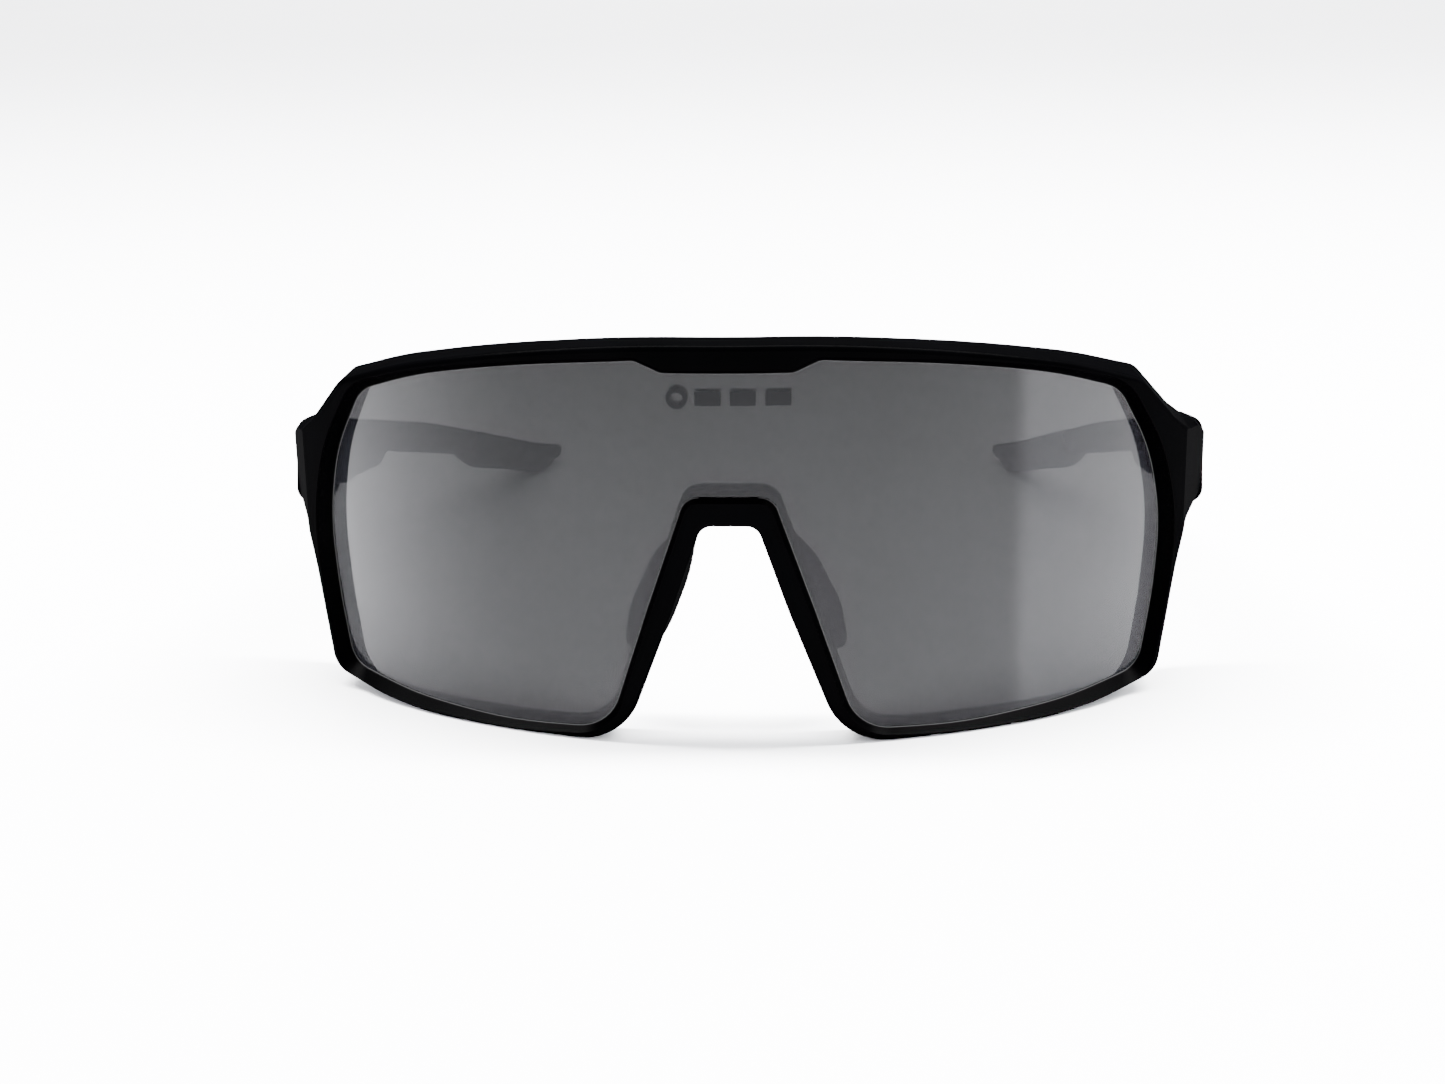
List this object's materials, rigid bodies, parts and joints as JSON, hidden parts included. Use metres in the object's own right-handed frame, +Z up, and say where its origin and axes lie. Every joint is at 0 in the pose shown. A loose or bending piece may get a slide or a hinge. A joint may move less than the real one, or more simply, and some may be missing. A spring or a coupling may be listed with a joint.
{
  "type": "wraparound sport sunglasses",
  "caption": "Wraparound shield sunglasses with a mirrored one-piece lens, full black frame, rubber nose pads and folding arms with rubber grips.",
  "frame": {"origin": "on the table under the middle of the bounding box, arms open, front standing upright on its lower rims", "axes": "+X towards the wearer's left, +Y from the lens towards the wearer (the arms point this way), +Z up"},
  "size_m": [0.1458, 0.1676, 0.06],
  "materials": {
    "frame_nylon": "matte black moulded nylon",
    "arm_nylon": "matte black moulded nylon",
    "mirror_lens": "smoke polycarbonate with a silver flash mirror",
    "pad_rubber": "soft matte black rubber",
    "grip_rubber": "soft matte black rubber",
    "clip_plastic": "stiff black plastic",
    "hinge_steel": "fine brushed stainless steel",
    "screw_steel": "turned stainless steel"
  },
  "bodies": {
    "front": {"front_frame": "frame_nylon", "shield_lens": "mirror_lens", "nose_pad_left": "pad_rubber", "nose_clip_left": "clip_plastic", "front_hinge_left": "hinge_steel", "hinge_screw_left": "screw_steel", "front_leaf_screws_left": "screw_steel", "nose_pad_right": "pad_rubber", "nose_clip_right": "clip_plastic", "front_hinge_right": "hinge_steel", "hinge_screw_right": "screw_steel", "front_leaf_screws_right": "screw_steel"},
    "arm_left": {"temple_left": "arm_nylon", "temple_grip_left": "grip_rubber", "temple_hinge_left": "hinge_steel", "temple_leaf_screws_left": "screw_steel"},
    "arm_right": {"temple_right": "arm_nylon", "temple_grip_right": "grip_rubber", "temple_hinge_right": "hinge_steel", "temple_leaf_screws_right": "screw_steel"}
  },
  "joints": [
    {"name": "temple_left_fold", "type": "hinge", "parent": "front", "child": "arm_left", "pos_m": [0.0683, -0.0428, 0.03313], "axis": [0, 0.2605, 0.9655], "range_deg": [0, 83.5]},
    {"name": "temple_right_fold", "type": "hinge", "parent": "front", "child": "arm_right", "pos_m": [-0.0683, -0.0428, 0.03313], "axis": [0, -0.2605, -0.9655], "range_deg": [0, 74.5]}
  ]
}
